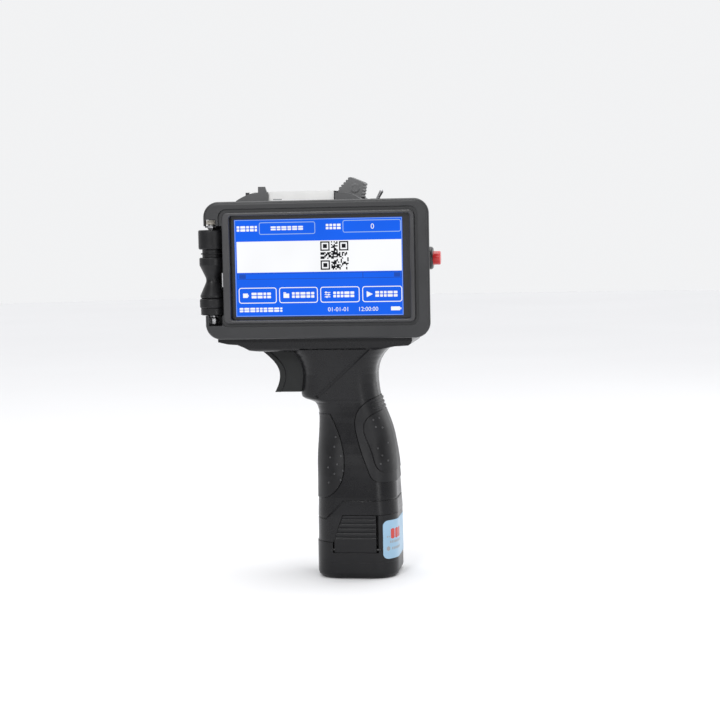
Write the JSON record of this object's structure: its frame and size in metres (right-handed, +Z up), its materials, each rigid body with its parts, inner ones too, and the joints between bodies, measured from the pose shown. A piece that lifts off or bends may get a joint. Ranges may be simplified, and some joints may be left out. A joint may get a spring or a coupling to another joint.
{
  "type": "handheld date code inkjet printer",
  "caption": "Pistol-shaped handheld inkjet coder with a touch screen head, guide rollers at the printing end, a lift-out ink cartridge, trigger grip and slide-off battery.",
  "frame": {"origin": "centre of the flat underside of the battery, which the printer stands on", "axes": "+Z up, -X the way the ink leaves the nozzle, -Y the side with the screen"},
  "size_m": [0.1339, 0.085, 0.2262],
  "materials": {
    "shell": "fine-grained black moulded plastic",
    "bezel": "satin black moulded plastic",
    "screen": "lit display under a glossy touch panel",
    "display_metal": "pressed display frame",
    "circuit": "green circuit board",
    "brass": "turned brass",
    "roller_rubber": "smooth black rubber",
    "roller_plastic": "turned black plastic",
    "steel": "brushed stainless steel",
    "chrome": "bright plated steel",
    "nylon": "ivory nylon",
    "black_steel": "black painted steel",
    "housing": "fine-grained dark grey moulded plastic",
    "cradle": "dark grey moulded plastic",
    "lever": "dark grey moulded plastic",
    "cartridge": "black moulded plastic",
    "label_white": "white label",
    "label_blue": "light blue label",
    "red_plastic": "glossy red plastic",
    "gloss_black": "glossy black plastic",
    "handle": "black moulded plastic",
    "grip_rubber": "soft black rubber",
    "trigger": "dark grey-green moulded plastic",
    "battery": "black moulded plastic",
    "cell": "sleeved cell"
  },
  "bodies": {
    "printer": {"axle_collar": "nylon", "axle_dome": "chrome", "axle_nut": "chrome", "board_spacers": "brass", "button_bushing": "gloss_black", "button_nut": "steel", "cartridge_cradle": "cradle", "display_module": "display_metal", "far_roller_axle": "steel", "front_grip_pad": "grip_rubber", "front_shell": "shell", "handle_far_half": "handle", "handle_near_half": "handle", "handle_screws": "steel", "housing_screws": "steel", "latch_pin": "steel", "main_board": "circuit", "nozzle_guard": "steel", "rear_grip_pad": "grip_rubber", "rear_housing": "housing", "roller_axle": "steel", "roller_bracket": "black_steel", "roller_spacer": "roller_plastic", "screen_bezel": "bezel", "terminal_block": "nylon", "toggle_body": "gloss_black", "touch_panel": "screen", "trigger_spring": "steel", "trigger_switch": "gloss_black", "wear_strip": "steel"},
    "upper_wheel": {"upper_wheel": "roller_rubber"},
    "guide_roller": {"guide_roller": "roller_plastic"},
    "lower_wheel": {"lower_wheel_tyre": "roller_rubber", "lower_wheel_hub": "roller_plastic"},
    "far_roller": {"far_roller": "roller_rubber"},
    "latch_lever": {"latch_lever": "lever"},
    "cartridge": {"ink_cartridge": "cartridge", "nozzle_plate": "brass", "cartridge_label": "label_white"},
    "button_cap": {"button_cap": "red_plastic"},
    "toggle_lever": {"toggle_lever": "chrome"},
    "trigger": {"trigger": "trigger"},
    "battery": {"battery_case": "battery", "battery_cap": "battery", "battery_cells": "cell", "battery_label": "label_blue", "battery_contacts": "brass", "press_pins": "steel"},
    "battery_press_near": {"battery_press_near": "battery"},
    "battery_press_far": {"battery_press_far": "battery"}
  },
  "joints": [
    {"name": "trigger_pull", "type": "slide", "parent": "printer", "child": "trigger", "axis": [1, 0, 0], "range_m": [0, 0.006], "stiffness_N_per_m": 400, "springref_m": -0.004, "deforming": ["trigger_spring"]},
    {"name": "button_press", "type": "slide", "parent": "printer", "child": "button_cap", "axis": [-1, 0, 0], "range_m": [0, 0.002], "stiffness_N_per_m": 700, "springref_m": -0.001},
    {"name": "toggle_flip", "type": "hinge", "parent": "printer", "child": "toggle_lever", "pos_m": [0.0124, -0.0034, 0.211], "axis": [0, -1, 0], "range_deg": [0, 58]},
    {"name": "latch_open", "type": "hinge", "parent": "printer", "child": "latch_lever", "pos_m": [-0.001, 0.011, 0.2066], "axis": [0, 1, 0], "range_deg": [0, 30], "stiffness_Nm_per_rad": 0.08, "springref_deg": -17.19},
    {"name": "cartridge_lift", "type": "slide", "parent": "printer", "child": "cartridge", "axis": [0, 0, 1], "range_m": [0, 0.075]},
    {"name": "upper_wheel_spin", "type": "hinge", "parent": "printer", "child": "upper_wheel", "pos_m": [-0.076, -0.032, 0.17], "axis": [0, 0, 1], "continuous": true},
    {"name": "guide_roller_spin", "type": "hinge", "parent": "printer", "child": "guide_roller", "pos_m": [-0.076, -0.032, 0.17], "axis": [0, 0, 1], "continuous": true},
    {"name": "lower_wheel_spin", "type": "hinge", "parent": "printer", "child": "lower_wheel", "pos_m": [-0.076, -0.032, 0.17], "axis": [0, 0, 1], "continuous": true},
    {"name": "far_roller_spin", "type": "hinge", "parent": "printer", "child": "far_roller", "pos_m": [-0.076, 0.036, 0.17], "axis": [0, 0, 1], "continuous": true},
    {"name": "battery_release", "type": "slide", "parent": "printer", "child": "battery", "axis": [0, 0, -1], "range_m": [0, 0.06]},
    {"name": "battery_press_near", "type": "hinge", "parent": "battery", "child": "battery_press_near", "pos_m": [0, -0.0223, 0.0166], "axis": [-1, 0, 0], "range_deg": [0, 4.5], "stiffness_Nm_per_rad": 0.4, "springref_deg": -3.44},
    {"name": "battery_press_far", "type": "hinge", "parent": "battery", "child": "battery_press_far", "pos_m": [0, 0.0223, 0.0166], "axis": [1, 0, 0], "range_deg": [0, 4.5], "stiffness_Nm_per_rad": 0.4, "springref_deg": -3.44}
  ]
}
